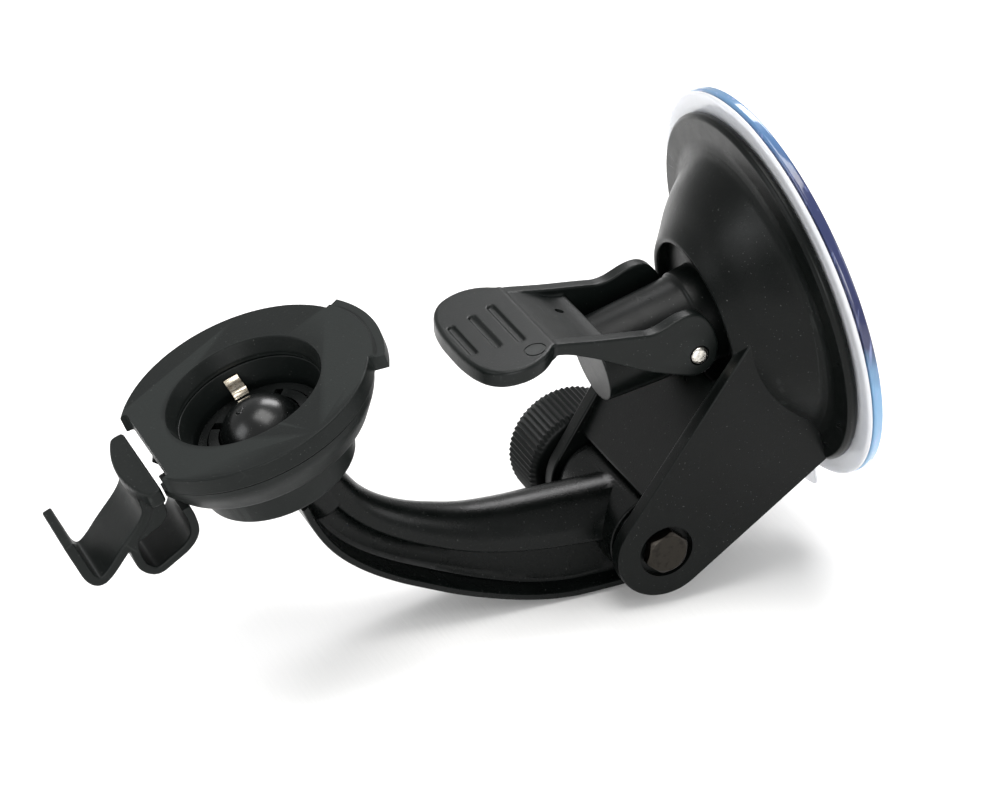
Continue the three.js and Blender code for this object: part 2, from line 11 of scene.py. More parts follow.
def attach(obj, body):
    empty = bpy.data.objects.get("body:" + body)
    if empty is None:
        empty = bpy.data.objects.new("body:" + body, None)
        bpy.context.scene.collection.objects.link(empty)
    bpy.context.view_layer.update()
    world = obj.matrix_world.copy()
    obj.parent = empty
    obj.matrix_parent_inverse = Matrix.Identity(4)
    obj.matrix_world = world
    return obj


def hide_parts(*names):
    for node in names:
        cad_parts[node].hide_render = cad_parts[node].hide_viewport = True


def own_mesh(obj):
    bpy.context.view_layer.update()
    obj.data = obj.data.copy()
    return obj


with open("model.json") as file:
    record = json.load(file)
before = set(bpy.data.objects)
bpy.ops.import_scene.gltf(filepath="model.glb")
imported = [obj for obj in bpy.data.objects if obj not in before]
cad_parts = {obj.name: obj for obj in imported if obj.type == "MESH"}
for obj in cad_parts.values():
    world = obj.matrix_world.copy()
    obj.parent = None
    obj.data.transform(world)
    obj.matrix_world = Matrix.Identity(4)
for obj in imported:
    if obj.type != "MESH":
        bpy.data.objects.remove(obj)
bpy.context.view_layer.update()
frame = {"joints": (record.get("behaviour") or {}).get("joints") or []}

MM = 0.001
TAU = 2 * math.pi
joints = {j["name"]: j for j in frame["joints"]}
Y_AXIS = Vector((0, 1, 0))


# ------------------------------------------------------------------ frames of the mount
class Place:
    """A turned frame: millimetres along three axes from an origin in metres."""

    def __init__(self, x_axis, y_axis, z_axis, origin):
        self.matrix = Matrix.Identity(4)
        for column, axis in enumerate((x_axis, y_axis, z_axis)):
            for row in range(3):
                self.matrix[row][column] = axis[row] * MM
        for row in range(3):
            self.matrix[row][3] = origin[row]

    def __call__(self, x, y, z):
        return self.matrix @ Vector((x, y, z))


PIN_ALONG = 20.35                                   # lever pin, along the boss from the flange
PULL = Vector(joints["stem_pull"]["axis"]).normalized()
UP_PAD = Vector((PULL.z, 0, -PULL.x))
pin_point = Vector(joints["lever_lock"]["pos_m"])
base_at = Place(UP_PAD, Y_AXIS, PULL, pin_point - PULL * PIN_ALONG * MM)

SPIN = Vector(joints["cradle_spin"]["axis"]).normalized()
TO_LIP = Vector(joints["cradle_roll"]["axis"]).normalized()
ball_point = Vector(joints["cradle_spin"]["pos_m"])
cradle_at = Place(TO_LIP, Y_AXIS, SPIN, ball_point)

pivot_point = Vector(joints["arm_swing"]["pos_m"])
NECK_LEAN = math.radians(55)
BALL_R = 8.5
neck_out = Vector((-math.cos(NECK_LEAN), 0, math.sin(NECK_LEAN)))
ball_at = Place(Vector((neck_out.z, 0, -neck_out.x)), Y_AXIS, neck_out, ball_point)


# ------------------------------------------------------------------ outlines
def bend(before, point, after, radius, share, steps):
    """Points of the arc-like bend in place of one corner; the corner's third value is its own radius."""
    reach = point[2] if len(point) > 2 else radius
    length_a = math.hypot(before[0] - point[0], before[1] - point[1])
    length_b = math.hypot(after[0] - point[0], after[1] - point[1])
    a = min(reach, length_a * share) / length_a
    b = min(reach, length_b * share) / length_b
    start = (point[0] + (before[0] - point[0]) * a, point[1] + (before[1] - point[1]) * a)
    end = (point[0] + (after[0] - point[0]) * b, point[1] + (after[1] - point[1]) * b)
    out = []
    for k in range(steps + 1):
        t = k / steps
        out.append(((1 - t) ** 2 * start[0] + 2 * t * (1 - t) * point[0] + t * t * end[0],
                    (1 - t) ** 2 * start[1] + 2 * t * (1 - t) * point[1] + t * t * end[1]))
    return out


def rounded(points, radius, steps=6):
    """Closed outline with every corner turned into a bend."""
    out = []
    for i, point in enumerate(points):
        out += bend(points[i - 1], point, points[(i + 1) % len(points)], radius, 0.48, steps)
    return out


def soften(profile, radius=0.25, steps=4):
    """Open section from axis to axis with its inner corners turned into bends."""
    out = [profile[0][:2]]
    for before, point, after in zip(profile, profile[1:], profile[2:]):
        out += bend(before, point, after, radius, 0.45, steps)
    out.append(profile[-1][:2])
    return out


def arc(cx, cy, r, start, end, steps=16):
    angles = [math.radians(start + (end - start) * i / steps) for i in range(steps + 1)]
    return [(cx + r * math.cos(t), cy + r * math.sin(t)) for t in angles]


def circle(r, steps=64, cx=0.0, cy=0.0):
    return [(cx + r * math.cos(TAU * i / steps), cy + r * math.sin(TAU * i / steps)) for i in range(steps)]


def smooth_line(points, steps=12):
    """Catmull-Rom line through the points."""
    ends = [tuple(2 * p - q for p, q in zip(points[0], points[1]))]
    ends_b = [tuple(2 * p - q for p, q in zip(points[-1], points[-2]))]
    full = ends + [tuple(p) for p in points] + ends_b
    out = []
    for i in range(1, len(full) - 2):
        p0, p1, p2, p3 = full[i - 1:i + 3]
        for k in range(steps):
            t = k / steps
            out.append(tuple(0.5 * (2 * b + (c - a) * t + (2 * a - 5 * b + 4 * c - d) * t * t
                                    + (3 * b - a - 3 * c + d) * t ** 3)
                             for a, b, c, d in zip(p0, p1, p2, p3)))
    out.append(tuple(points[-1]))
    return out


def strip(points, thick, steps=10):
    """Outline of a band of even thickness that follows a smooth line."""
    line = smooth_line(points, steps)
    left, right = [], []
    for i, (x, y) in enumerate(line):
        ax, ay = line[max(i - 1, 0)]
        bx, by = line[min(i + 1, len(line) - 1)]
        size = math.hypot(bx - ax, by - ay)
        nx, ny = -(by - ay) / size * thick / 2, (bx - ax) / size * thick / 2
        left.append((x + nx, y + ny))
        right.append((x - nx, y - ny))
    return left + right[::-1]


def area_of(outline):
    return sum(a[0] * b[1] - b[0] * a[1] for a, b in zip(outline, outline[1:] + outline[:1])) / 2


def inset(outline, distance):
    """Outline moved inwards by an even distance."""
    if area_of(outline) < 0:
        outline = outline[::-1]
    out = []
    count = len(outline)
    for i, (x, y) in enumerate(outline):
        ax, ay = outline[i - 1]
        bx, by = outline[(i + 1) % count]
        ux, uy = x - ax, y - ay
        vx, vy = bx - x, by - y
        lu, lv = math.hypot(ux, uy) or 1, math.hypot(vx, vy) or 1
        nx, ny = -(uy / lu + vy / lv), ux / lu + vx / lv
        size = math.hypot(nx, ny) or 1
        nx, ny = nx / size, ny / size
        turn = max(0.5, nx * -(uy / lu) + ny * (ux / lu))
        out.append((x + nx * distance / turn, y + ny * distance / turn))
    return out


# ------------------------------------------------------------------ solids
def make_object(name, verts, faces):
    mesh = bpy.data.meshes.new(name)
    mesh.from_pydata([tuple(v) for v in verts], [], faces)
    build = bmesh.new()
    build.from_mesh(mesh)
    bmesh.ops.remove_doubles(build, verts=build.verts, dist=1e-7)
    bmesh.ops.recalc_face_normals(build, faces=build.faces)
    build.to_mesh(mesh)
    build.free()
    obj = bpy.data.objects.new(name, mesh)
    bpy.context.scene.collection.objects.link(obj)
    return obj


def turned(name, profile, at, segments=160, closed=False, wave=None):
    """Revolved solid; profile is (radius, height) from axis to axis, or a closed ring section."""
    verts, faces = [], []
    rows = len(profile)
    for i in range(segments):
        angle = TAU * i / segments
        for r, h in profile:
            radius = r + (wave(angle, r, h) if wave else 0.0)
            verts.append(at(radius * math.cos(angle), radius * math.sin(angle), h))
    for i in range(segments):
        j = (i + 1) % segments
        for k in range(rows if closed else rows - 1):
            m = (k + 1) % rows
            quad = [i * rows + k, i * rows + m, j * rows + m, j * rows + k]
            if not closed and profile[k][0] < 1e-6:
                quad = [quad[0], quad[1], quad[2]]
            elif not closed and profile[m][0] < 1e-6:
                quad = [quad[0], quad[1], quad[3]]
            faces.append(quad)
    return make_object(name, verts, faces)


def prism(name, outline, z0, z1, at, edge=0.3, steps=3):
    """Solid raised from an outline, with both rims rounded by the edge radius."""
    levels = []
    if edge > 0:
        for k in range(steps + 1):
            t = math.pi / 2 * k / steps
            levels.append((edge * (1 - math.sin(t)), z0 + edge * (1 - math.cos(t))))
        for k in range(steps + 1):
            t = math.pi / 2 * (1 - k / steps)
            levels.append((edge * (1 - math.sin(t)), z1 - edge * (1 - math.cos(t))))
    else:
        levels = [(0, z0), (0, z1)]
    if area_of(outline) < 0:
        outline = outline[::-1]
    verts, faces = [], []
    count = len(outline)
    for distance, z in levels:
        ring = inset(outline, distance) if distance > 1e-6 else outline
        verts += [at(x, y, z) for x, y in ring]
    for level in range(len(levels) - 1):
        for i in range(count):
            j = (i + 1) % count
            a, b = level * count, (level + 1) * count
            faces.append([a + i, a + j, b + j, b + i])
    faces.append(list(range(count))[::-1])
    last = (len(levels) - 1) * count
    faces.append([last + i for i in range(count)])
    return make_object(name, verts, faces)


def bake_modifiers(obj):
    bpy.context.view_layer.update()
    graph = bpy.context.evaluated_depsgraph_get()
    mesh = bpy.data.meshes.new_from_object(obj.evaluated_get(graph))
    obj.modifiers.clear()
    obj.data = mesh
    return obj


def combine(obj, operation, *others):
    for other in others:
        cut = obj.modifiers.new("combine", "BOOLEAN")
        cut.operation = operation
        cut.solver = "MANIFOLD"
        cut.object = other
        bake_modifiers(obj)
        bpy.data.objects.remove(other)
    return obj


def join(obj, *others):
    return combine(obj, "UNION", *others)


def cut(obj, *others):
    return combine(obj, "DIFFERENCE", *others)


def merge_flats(obj):
    """Joins the small faces of each flat area, so that it shades as one."""
    build = bmesh.new()
    build.from_mesh(obj.data)
    bmesh.ops.dissolve_limit(build, angle_limit=math.radians(0.4), verts=build.verts, edges=build.edges)
    build.to_mesh(obj.data)
    build.free()
    return obj


def mould(obj, voxel=0.3, rounds=4):
    """Even fine mesh with every edge softened, as a moulding has."""
    remesh = obj.modifiers.new("remesh", "REMESH")
    remesh.mode = "VOXEL"
    remesh.voxel_size = voxel * MM
    remesh.adaptivity = 0.0
    relax = obj.modifiers.new("relax", "SMOOTH")
    relax.factor = 0.5
    relax.iterations = rounds
    return bake_modifiers(obj)


def finish_piece(obj, name, body, slot, material, *replaced, sharp=38, smooth=True):
    obj.name = name
    obj.data.name = name
    mesh = obj.data
    mesh.materials.clear()
    mesh.materials.append(material)
    mesh.shade_smooth()
    if smooth:
        merge_flats(obj)
        mesh.set_sharp_from_angle(angle=math.radians(sharp))
        weighted = obj.modifiers.new("weighted", "WEIGHTED_NORMAL")
        weighted.keep_sharp = True
        weighted.weight = 60
    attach(obj, body)
    if replaced:
        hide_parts(*replaced)
    return obj


# ------------------------------------------------------------------ materials
class Nodes:
    """Small helper that wires a material's nodes."""

    def __init__(self, name):
        self.material = bpy.data.materials.new(name)
        self.material.use_nodes = True
        self.tree = self.material.node_tree
        self.shader = self.tree.nodes["Principled BSDF"]
        self.coords = self.tree.nodes.new("ShaderNodeTexCoord")

    def add(self, kind, **values):
        node = self.tree.nodes.new(kind)
        for key, value in values.items():
            if hasattr(node, key):
                setattr(node, key, value)
            else:
                node.inputs[key.replace("_", " ")].default_value = value
        return node

    def link(self, source, target):
        self.tree.links.new(source, target)

    def noise(self, scale, detail=3.0, roughness=0.55, stretch=None):
        node = self.add("ShaderNodeTexNoise")
        node.inputs["Scale"].default_value = scale
        node.inputs["Detail"].default_value = detail
        node.inputs["Roughness"].default_value = roughness
        source = self.coords.outputs["Object"]
        if stretch:
            mapping = self.add("ShaderNodeMapping")
            mapping.inputs["Scale"].default_value = stretch
            self.link(source, mapping.inputs["Vector"])
            source = mapping.outputs["Vector"]
        self.link(source, node.inputs["Vector"])
        return node.outputs["Fac"]

    def ramp(self, source, stops):
        node = self.add("ShaderNodeValToRGB")
        ramp = node.color_ramp
        while len(ramp.elements) < len(stops):
            ramp.elements.new(0.5)
        for element, (place, color) in zip(ramp.elements, stops):
            element.position = place
            element.color = (*color, 1) if len(color) == 3 else color
        self.link(source, node.inputs["Fac"])
        return node.outputs["Color"]

    def remap(self, source, low, high, out_low, out_high):
        node = self.add("ShaderNodeMapRange")
        for key, value in (("From Min", low), ("From Max", high), ("To Min", out_low), ("To Max", out_high)):
            node.inputs[key].default_value = value
        self.link(source, node.inputs["Value"])
        return node.outputs["Result"]

    def mix(self, factor, a, b, blend="MIX"):
        node = self.add("ShaderNodeMix", data_type="RGBA", blend_type=blend)
        if isinstance(factor, float):
            node.inputs["Factor"].default_value = factor
        else:
            self.link(factor, node.inputs["Factor"])
        for value, socket in ((a, node.inputs[6]), (b, node.inputs[7])):
            if isinstance(value, tuple):
                socket.default_value = (*value, 1)
            else:
                self.link(value, socket)
        return node.outputs[2]

    def add_values(self, a, b, scale_b):
        node = self.add("ShaderNodeMath", operation="MULTIPLY_ADD")
        self.link(b, node.inputs[0])
        node.inputs[1].default_value = scale_b
        self.link(a, node.inputs[2])
        return node.outputs[0]

    def bump(self, height, strength, distance):
        node = self.add("ShaderNodeBump")
        node.inputs["Strength"].default_value = strength
        node.inputs["Distance"].default_value = distance
        self.link(height, node.inputs["Height"])
        self.link(node.outputs["Normal"], self.shader.inputs["Normal"])

    def scratches(self, scale, turn, width=0.012):
        """Thin straight marks: 1 on a mark and 0 elsewhere."""
        mapping = self.add("ShaderNodeMapping")
        mapping.inputs["Rotation"].default_value = turn
        mapping.inputs["Scale"].default_value = (1.0, 0.05, 0.6)
        self.link(self.coords.outputs["Object"], mapping.inputs["Vector"])
        cells = self.add("ShaderNodeTexVoronoi", feature="DISTANCE_TO_EDGE")
        cells.inputs["Scale"].default_value = scale
        self.link(mapping.outputs["Vector"], cells.inputs["Vector"])
        line = self.remap(cells.outputs["Distance"], 0.0, width, 1.0, 0.0)
        patch = self.remap(self.noise(scale * 0.35, 2.0), 0.62, 0.68, 0.0, 1.0)
        both = self.add("ShaderNodeMath", operation="MULTIPLY")
        self.link(line, both.inputs[0])
        self.link(patch, both.inputs[1])
        return both.outputs[0]


def plastic(name, color, lighter, roughness, shine=0.2, grain=0.00004, grain_scale=5200.0, coat=0.0):
    """Black moulded plastic: spark-eroded grain, faint cloudiness, dust specks and fine marks."""
    n = Nodes(name)
    cloud = n.noise(60.0, 4.0)
    body = n.ramp(cloud, [(0.3, color), (0.72, lighter)])
    dust = n.remap(n.noise(2600.0, 1.0), 0.73, 0.80, 0.0, 0.55)
    body = n.mix(dust, body, (0.10, 0.105, 0.10))
    marks = n.scratches(420.0, (0.3, 0.2, 0.7), 0.02)
    faint = n.remap(marks, 0.0, 1.0, 0.0, 0.14)
    body = n.mix(faint, body, (0.07, 0.075, 0.07))
    wear = n.add("ShaderNodeNewGeometry")
    edge = n.remap(wear.outputs["Pointiness"], 0.53, 0.60, 0.0, 0.35)
    body = n.mix(edge, body, tuple(v * 2.6 + 0.01 for v in lighter))
    n.link(body, n.shader.inputs["Base Color"])
    rough = n.remap(n.noise(220.0, 5.0), 0.25, 0.75, roughness - 0.05, roughness + 0.06)
    n.link(n.add_values(rough, marks, -0.08), n.shader.inputs["Roughness"])
    n.shader.inputs["Specular IOR Level"].default_value = shine
    n.shader.inputs["Coat Weight"].default_value = coat
    n.shader.inputs["Coat Roughness"].default_value = 0.3
    height = n.add_values(n.noise(grain_scale, 2.0), n.noise(grain_scale * 0.37, 2.0), 0.6)
    n.bump(height, 0.55, grain)
    return n.material


def metal(name, color, darker, roughness, scratch_scale, stretch, bump=0.00002, tarnish=0.62):
    n = Nodes(name)
    patch = n.remap(n.noise(900.0, 4.0), tarnish - 0.1, tarnish + 0.08, 0.0, 1.0)
    n.link(n.mix(patch, color, darker), n.shader.inputs["Base Color"])
    n.shader.inputs["Metallic"].default_value = 1.0
    lines = n.noise(scratch_scale, 3.0, 0.6, stretch)
    n.link(n.remap(lines, 0.3, 0.7, roughness - 0.07, roughness + 0.12), n.shader.inputs["Roughness"])
    n.bump(n.add_values(lines, n.noise(1500.0, 3.0), 0.8), 0.5, bump)
    return n.material


def clear_soft(name, tint, roughness, ior, bump):
    n = Nodes(name)
    haze = n.noise(90.0, 3.0)
    n.link(n.ramp(haze, [(0.3, tint), (0.75, tuple(min(1.0, v * 1.04) for v in tint))]),
           n.shader.inputs["Base Color"])
    n.shader.inputs["Transmission Weight"].default_value = 0.5
    n.shader.inputs["IOR"].default_value = ior
    n.link(n.remap(n.noise(400.0, 3.0), 0.3, 0.7, roughness * 0.6, roughness * 1.5),
           n.shader.inputs["Roughness"])
    n.bump(n.noise(130.0, 2.0), 0.3, bump)
    return n.material


HOUSING = plastic("housing_black", (0.0012, 0.0018, 0.0016), (0.0024, 0.0032, 0.0029), 0.31, 0.13)
ARM_BLACK = plastic("arm_black", (0.0011, 0.0017, 0.0015), (0.0022, 0.0030, 0.0027), 0.27, 0.16)
FACE_BLACK = plastic("cradle_black", (0.0034, 0.0047, 0.0043), (0.0050, 0.0064, 0.0059), 0.42, 0.15)
LEVER_BLACK = plastic("lever_black", (0.0026, 0.0038, 0.0034), (0.0042, 0.0056, 0.0051), 0.33, 0.18)
KNOB_BLACK = plastic("knob_black", (0.0016, 0.0024, 0.0022), (0.0030, 0.0040, 0.0037), 0.42, 0.14)
INNER = plastic("inner_black", (0.0010, 0.0015, 0.0014), (0.0020, 0.0027, 0.0025), 0.24, 0.30,
                grain=0.00001, grain_scale=1800.0, coat=0.12)
EVEN = (1.0, 1.0, 1.0)                              # the same texture scale along all three axes
CLEAR = clear_soft("clear_pad", (0.90, 0.91, 0.94), 0.14, 1.42, 0.0004)
STEEL = metal("pin_steel", (0.72, 0.69, 0.63), (0.34, 0.31, 0.27), 0.28, 700.0, EVEN, 0.00012)
SPRING_STEEL = metal("spring_steel", (0.55, 0.55, 0.54), (0.38, 0.37, 0.36), 0.25, 900.0, (1.0, 1.0, 6.0))
ZINC = metal("black_zinc", (0.030, 0.027, 0.023), (0.020, 0.018, 0.016), 0.36, 800.0, EVEN, 0.00004)
NICKEL = metal("leaf_nickel", (0.62, 0.56, 0.46), (0.34, 0.27, 0.19), 0.26, 1600.0, (0.3, 1.0, 1.0),
               0.00005, 0.60)
BRASS = metal("nut_brass", (0.70, 0.52, 0.22), (0.45, 0.32, 0.13), 0.30, 700.0, EVEN)


def blue_gel():
    """Translucent blue seal: clear gel, with a dark navy band painted across it by position as a painted
    reflection.
    """
    n = Nodes("blue_seal")
    # position along one fixed direction places the painted reflection band set in the ramp below
    around = n.add("ShaderNodeVectorMath", operation="DOT_PRODUCT")
    n.link(n.coords.outputs["Object"], around.inputs[0])
    around.inputs[1].default_value = (0.19, 0.44, 0.875)
    height = n.remap(around.outputs["Value"], 0.008, 0.108, 0.0, 1.0)
    level = n.add_values(height, n.noise(70.0, 3.0, 0.6, (1.0, 1.0, 0.6)), 0.16)
    # painted reflection: the dark navy stops from 0.49 to 0.79 paint a dark band across the ring, standing in
    # for what the glossy ring reflects
    blue_with_painted_reflection = n.ramp(level, [
        (0.00, (0.210, 0.400, 0.600)), (0.43, (0.150, 0.310, 0.500)), (0.49, (0.014, 0.018, 0.070)),
        (0.79, (0.018, 0.028, 0.100)), (0.87, (0.055, 0.130, 0.280)), (0.96, (0.090, 0.210, 0.370))])
    streaks = n.remap(n.noise(260.0, 3.0, 0.6, (3.0, 1.0, 0.3)), 0.60, 0.72, 0.0, 0.6)
    n.link(n.mix(streaks, blue_with_painted_reflection, (0.250, 0.300, 0.560)), n.shader.inputs["Base Color"])
    n.shader.inputs["Transmission Weight"].default_value = 0.12
    n.shader.inputs["IOR"].default_value = 1.45
    n.shader.inputs["Coat Weight"].default_value = 0.6
    n.shader.inputs["Coat Roughness"].default_value = 0.06
    n.link(n.remap(n.noise(300.0, 3.0), 0.3, 0.7, 0.10, 0.24), n.shader.inputs["Roughness"])
    n.bump(n.noise(220.0, 3.0), 0.35, 0.0003)
    return n.material


BLUE = blue_gel()


# ------------------------------------------------------------------ sizes shared by several pieces (mm)
WELL_R, WELL_FLOOR = 14.9, 12.6
BOSS_ROOT, BOSS_TIP, BOSS_END = 9.1, 8.2, 37.5
BOSS_BORE, BOSS_BORE_END = 6.2, 35.3
PIN_R, STROKE, GAP = 1.75, 4.0, 0.3
BOLT_HOLE_R = 2.85
PLATE_OUT, PLATE_THICK, PLATE_R, PLATE_SPLAY = 17.5, 3.26, 10.0, 0.043
PLATE_LOW, PLATE_HIGH = 38, 57                      # slopes of a side plate's two edges, degrees
EAR_IN, EAR_OUT = 10.0, 12.9
PIVOT_Z = 10.3                                      # pivot height in the side outlines below
FLANGE_X, FLANGE_Z = 28.0, 53.67
side_origin = Vector((pivot_point.x, 0, pivot_point.z - PIVOT_Z * MM))
across = Place(Vector((1, 0, 0)), Vector((0, 0, 1)), -Y_AXIS, side_origin)   # outline (x, z), depth -y
upright = Place(Vector((1, 0, 0)), Y_AXIS, Vector((0, 0, 1)), side_origin)
knob_axis = Place(Vector((1, 0, 0)), Vector((0, 0, -1)), Y_AXIS, Vector((pivot_point.x, 0, pivot_point.z)))


def cylinder_y(name, r, y0, y1, x, z, steps=96, edge=0.0):
    return prism(name, circle(r, steps, x, z), -y1, -y0, across, edge)


# ------------------------------------------------------------------ base housing
def side_plate(sign):
    low, high = ((math.cos(t), math.sin(t)) for t in map(math.radians, (PLATE_LOW, PLATE_HIGH)))
    outline = arc(0, PIVOT_Z, PLATE_R, 90 + PLATE_HIGH, 270 + PLATE_LOW, 48)
    outline += [(PLATE_R * low[1] + low[0] * 42, PIVOT_Z - PLATE_R * low[0] + low[1] * 42),
                (31, 44), (22, 54),
                (-PLATE_R * high[1] + high[0] * 44, PIVOT_Z + PLATE_R * high[0] + high[1] * 44)]
    near, far = sorted((-sign * PLATE_OUT, -sign * (PLATE_OUT - PLATE_THICK)))
    plate = prism("plate", outline, near, far, across, 0.45, 4)
    lean = sign * PLATE_SPLAY
    for vertex in plate.data.vertices:
        x = (vertex.co.x - side_origin.x) * 0.676
        z = (vertex.co.z - pivot_point.z) * 0.737
        vertex.co.y += lean * (x + z)
    return plate


def base_housing():
    dome = smooth_line([(29.3, 2.5), (27.9, 3.5), (26.3, 5.4), (24.4, 7.7), (21.9, 10.2), (19.0, 12.6),
                        (17.0, 14.35)], 6)
    profile = [(0, -0.2), (35.6, -0.2, 0.3), (36.1, 0.2, 0.4), (36.1, 1.2, 0.3), (35.4, 1.9, 0.3),
               (31.0, 1.95, 0.5), (30.2, 2.1, 0.5)]
    profile += [(r, h, 0.2) for r, h in dome]
    profile += [(16.0, 15.2, 0.5), (WELL_R + 0.1, 14.9, 0.6), (WELL_R, 14.0, 0.4), (WELL_R, WELL_FLOOR, 0.4),
                (BOSS_ROOT + 0.8, WELL_FLOOR, 0.5), (BOSS_ROOT + 0.55, 17.0, 0.3),
                (BOSS_ROOT + 0.05, 17.6, 0.4), (BOSS_TIP, BOSS_END - 0.1, 0.35),
                (BOSS_TIP - 0.3, BOSS_END, 0.2), (0, BOSS_END)]
    body = turned("base_housing", soften(profile, 0.3), base_at, 192)
    trim = turned("trim", [(0, 0.4), (35.4, 0.4), (35.4, 60), (0, 60)], base_at, 128)
    beyond = prism("beyond", [(-120, -30), (0, -30), (0, 30), (-120, 30)], 1.2, 90, base_at, 0)
    trim = join(trim, beyond)
    plates = join(side_plate(-1), side_plate(1))
    plates = combine(plates, "INTERSECT", trim)
    web = prism("web", rounded([(-3.4, 20.4), (-0.9, 19.9), (3.2, 25.4), (14.5, 42.6), (14.3, 43.6),
                                (9.9, 43.2)], 0.9), -15.2, 15.2, across, 0)
    body = join(body, plates, web)
    inner = [(0, -1), (24.6, -1), (24.6, 0.8), (23.4, 3.2), (20.6, 6.6), (16.6, 9.6), (13.8, 10.4),
             (BOSS_BORE, 10.4), (BOSS_BORE, BOSS_BORE_END), (0, BOSS_BORE_END)]
    hollow = turned("hollow", inner, base_at, 96)
    well = turned("well", [(BOSS_ROOT + 0.9, WELL_FLOOR + 0.02), (WELL_R, WELL_FLOOR + 0.02), (WELL_R, 19.6),
                           (BOSS_ROOT + 0.9, 19.6)], base_at, 144, closed=True)
    r = PIN_R + GAP
    slot_outline = arc(0, PIN_ALONG, r, -180, 0, 16) + arc(0, PIN_ALONG + STROKE, r, 0, 180, 16)
    boss_side = Place(UP_PAD, PULL, -Y_AXIS, base_at(0, 0, 0))
    slot_cut = prism("slot", slot_outline, -12, 12, boss_side, 0)
    bolt_hole = cylinder_y("bolt_hole", BOLT_HOLE_R, -24, 24, 0, PIVOT_Z, 48)
    recess = cylinder_y("recess", 5.5, -24, -PLATE_OUT + 1.6, 0, PIVOT_Z, 72)
    body = cut(body, hollow, well, slot_cut, bolt_hole, recess)
    return finish_piece(body, "base_shell", "base", "housing_plastic", HOUSING, "base_housing", sharp=32)


# ------------------------------------------------------------------ pad, seal, stem and spring
def suction_pad():
    profile = [(0, -1.3), (12.7, -1.3, 0.3), (12.9, -0.5, 0.3), (36.9, -0.5, 0.2), (38.6, -0.32, 0.4),
               (39.3, -0.3, 0.4), (39.8, -0.6, 0.3), (39.8, -0.98, 0.1), (26.6, -0.98, 0.2),
               (26.2, -2.1, 0.2), (0, -2.1)]
    pad = turned("clear_pad", soften(profile, 0.2), base_at, 192)
    tab = prism("tab", rounded([(-38, -6), (-45.5, -6), (-47.2, 0), (-45.5, 6), (-38, 6)], 2.2),
                -0.95, -0.45, base_at, 0.2)
    pad = join(pad, tab)
    return finish_piece(pad, "clear_pad", "base", "clear_pad", CLEAR, "suction_pad")


def sealing_ring():
    section = rounded([(26.9, -1.25), (39.6, -1.25, 0.3), (40, -1.6, 0.3), (40, -3.0, 0.3), (39.6, -3.3, 0.3),
                       (28.6, -3.3), (27.4, -2.7), (26.9, -1.6)], 0.2, 3)
    ring = turned("blue_ring", section, base_at, 192, closed=True)
    return finish_piece(ring, "blue_ring", "base", "blue_seal", BLUE, "sealing_ring")


def pull_stem():
    profile = [(0, -1.0), (12.2, -1.0), (12.4, -0.7), (12.4, 0.6), (12.1, 0.9), (6.6, 0.9, 0.4),
               (5.9, 1.6, 0.4), (5.9, 30.2), (5.5, 30.7), (0, 30.7)]
    stem = turned("stem", soften(profile, 0.15), base_at, 96)
    boss_side = Place(UP_PAD, PULL, -Y_AXIS, base_at(0, 0, 0))
    hole = prism("hole", circle(PIN_R + GAP, 40, 0, PIN_ALONG), -8, 8, boss_side, 0)
    return finish_piece(cut(stem, hole), "stem", "stem", "inner_plastic", INNER, "pull_stem")


def release_spring():
    turns, wire, radius, low, high = 4, 0.55, 8.4, 1.85, 9.4
    steps, sides = 240, 12
    verts, faces = [], []
    for i in range(steps + 1):
        t = i / steps
        angle = TAU * turns * t
        eased = t * t * (3 - 2 * t)
        h = low + (high - low) * (0.35 * t + 0.65 * eased)
        for k in range(sides):
            spoke = TAU * k / sides
            r = radius + wire * math.cos(spoke)
            verts.append(base_at(r * math.cos(angle), r * math.sin(angle), h + wire * math.sin(spoke)))
    for i in range(steps):
        for k in range(sides):
            m = (k + 1) % sides
            faces.append([i * sides + k, i * sides + m, (i + 1) * sides + m, (i + 1) * sides + k])
    faces.append(list(range(sides)))
    faces.append([steps * sides + k for k in range(sides)])
    coil = make_object("coil", verts, faces)
    finish_piece(coil, "coil", "base", "steel", SPRING_STEEL, "release_spring", smooth=False)
    tuple(base_at(0, 0, 10.0))
    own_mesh(coil)
    return coil


# ------------------------------------------------------------------ clamp lever
SLOPE = math.tan(math.radians(11.5))


def tilted(x, y, z):
    return upright(x, y, z + 55.1 + SLOPE * (x + 34.8))


def both_sides(half):
    """Whole outline from its half, mirrored across the lever."""
    return half + [(x, -y) for x, y in half[1:]][::-1]


